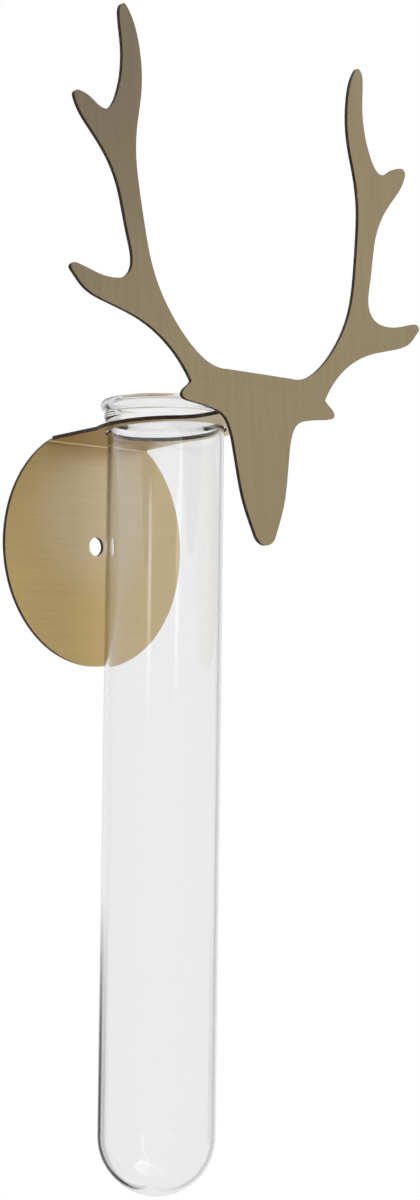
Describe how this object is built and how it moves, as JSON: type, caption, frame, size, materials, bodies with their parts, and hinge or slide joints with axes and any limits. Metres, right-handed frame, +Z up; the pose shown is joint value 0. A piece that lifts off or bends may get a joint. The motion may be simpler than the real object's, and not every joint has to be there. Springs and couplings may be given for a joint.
{
  "type": "wall mounted flower tube",
  "caption": "Glass test tube vase hanging in the ring of a folded brass wall bracket, with a flat stag head silhouette at its front.",
  "frame": {"origin": "centre of the nail hole, on the back face of the wall disc, which lies on the wall", "axes": "+Z up, +Y into the wall, so the front with the stag head looks along -Y, +X to the right seen from the front"},
  "size_m": [0.124, 0.0629, 0.2916],
  "materials": {
    "brass_bracket": "brushed satin",
    "brass_head": "brushed antique",
    "glass": "clear"
  },
  "bodies": {
    "bracket": {"wall_bracket": "brass_bracket", "stag_head_plate": "brass_head"},
    "tube": {"glass_tube": "glass"}
  },
  "joints": [
    {"name": "tube_lift", "type": "slide", "parent": "bracket", "child": "tube", "axis": [0, 0, 1], "range_m": [0, 0.2]}
  ]
}
